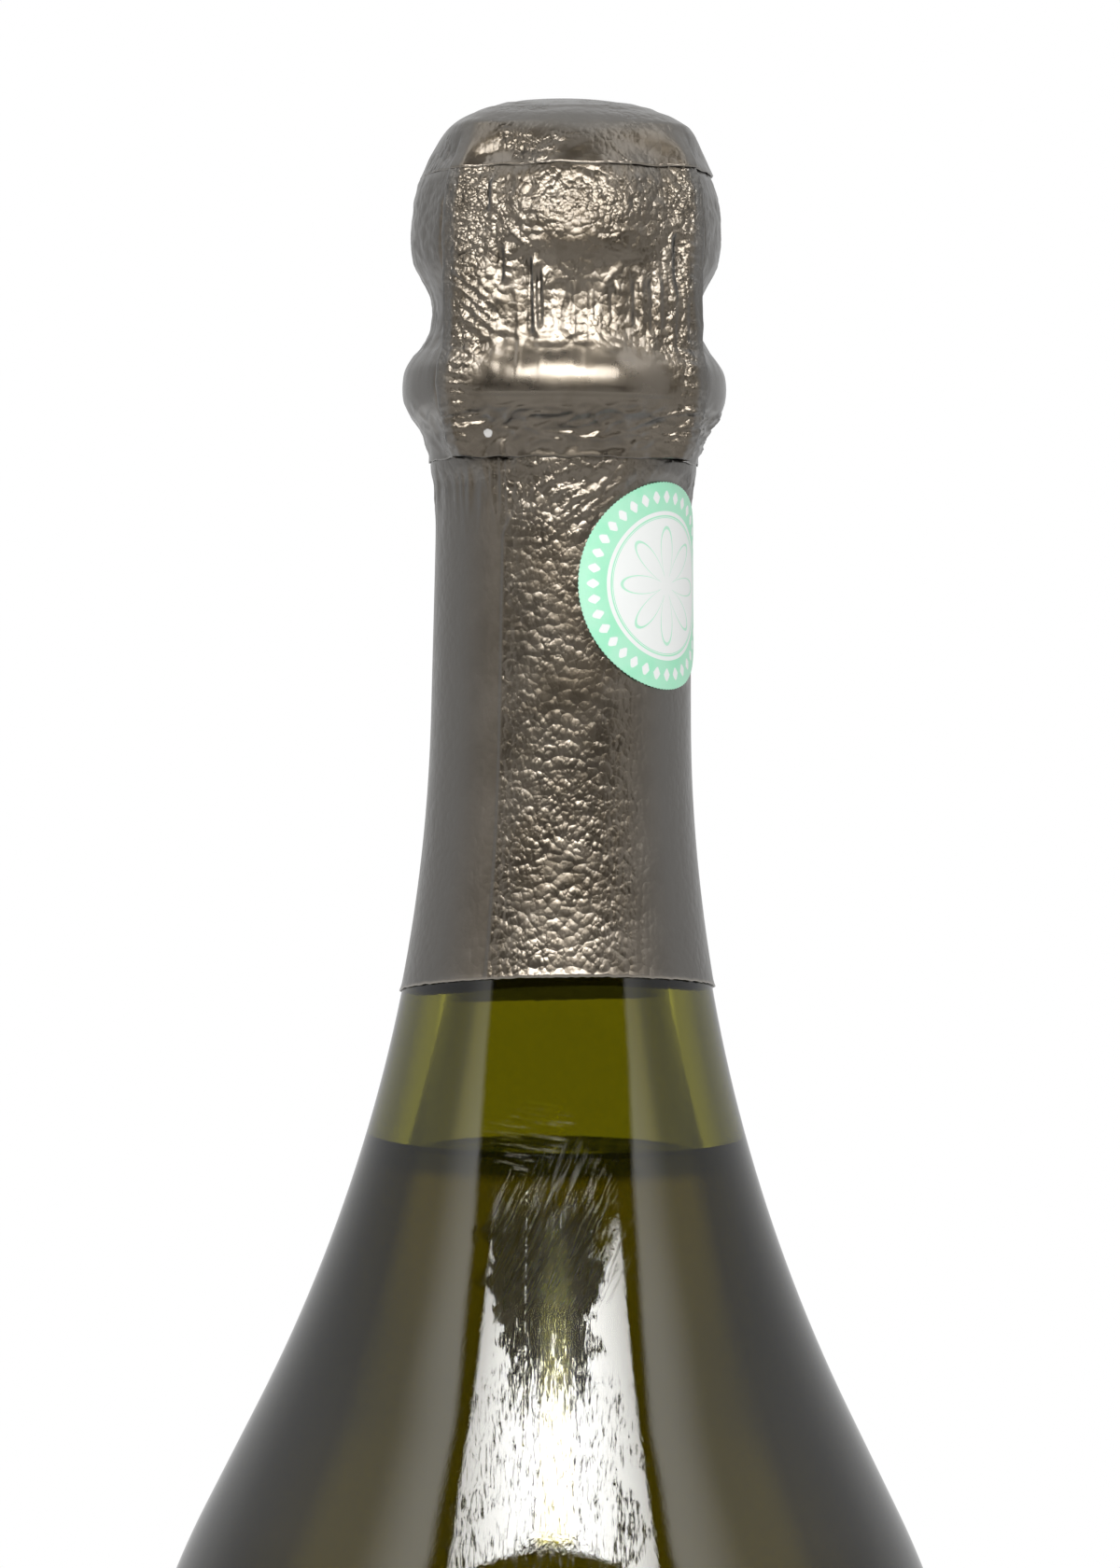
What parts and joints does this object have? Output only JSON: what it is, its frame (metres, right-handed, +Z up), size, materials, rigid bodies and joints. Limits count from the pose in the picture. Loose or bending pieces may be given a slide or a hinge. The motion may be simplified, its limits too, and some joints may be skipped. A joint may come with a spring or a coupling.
{
  "type": "champagne bottle",
  "caption": "Sealed sparkling wine bottle with a long sloping neck, punted base, wired mushroom cork, foil capsule over the closure and neck, round seal and blank labels.",
  "frame": {"origin": "centre of the base, on the surface that the bottle stands on", "axes": "+Z up along the bottle's axis to the closure, -Y towards the front label and the picture's camera, +X to the right in the picture"},
  "size_m": [0.0898, 0.0907, 0.3145],
  "materials": {
    "green_glass": "dark olive-green glass, glossy, with fine handling scuffs",
    "wine": "clear pale gold liquid",
    "agglomerated_cork": "granular pressed cork, matt",
    "natural_cork": "natural cork with pores, matt",
    "tinplate": "bronze lacquered tinplate, satin",
    "steel_wire": "bright galvanised wire",
    "bronze_foil": "dark bronze metallic foil, satin, finely crumpled",
    "seal_paper": "printed paper sticker, half gloss",
    "label_paper": "uncoated paper, matt"
  },
  "bodies": {
    "bottle": {"glass_bottle": "green_glass", "wine": "wine", "foil_neck_sleeve": "bronze_foil", "seal_sticker": "seal_paper", "front_label": "label_paper", "back_label": "label_paper"},
    "cork": {"cork_body": "agglomerated_cork", "cork_disc_upper": "natural_cork", "cork_disc_lower": "natural_cork"},
    "muselet": {"muselet_plaque": "tinplate", "muselet_cage": "steel_wire", "muselet_belt": "steel_wire"},
    "loop": {"muselet_loop": "steel_wire"},
    "hood": {"foil_hood": "bronze_foil", "foil_crown": "bronze_foil"}
  },
  "joints": [
    {"name": "cork_pull", "type": "slide", "parent": "bottle", "child": "cork", "axis": [0, 0, 1], "range_m": [0, 0.03], "deforming": ["muselet_cage", "muselet_belt", "foil_hood"]},
    {"name": "muselet_lift", "type": "slide", "parent": "cork", "child": "muselet", "axis": [0, 0, 1], "range_m": [0, 0.04], "deforming": ["muselet_cage", "muselet_belt"]},
    {"name": "loop_fold", "type": "hinge", "parent": "muselet", "child": "loop", "pos_m": [0, 0.01746, 0.2786], "axis": [-1, 0, 0], "range_deg": [0, 90]},
    {"name": "hood_lift", "type": "slide", "parent": "muselet", "child": "hood", "axis": [0, 0, 1], "range_m": [0, 0.042], "deforming": ["foil_hood"]}
  ]
}
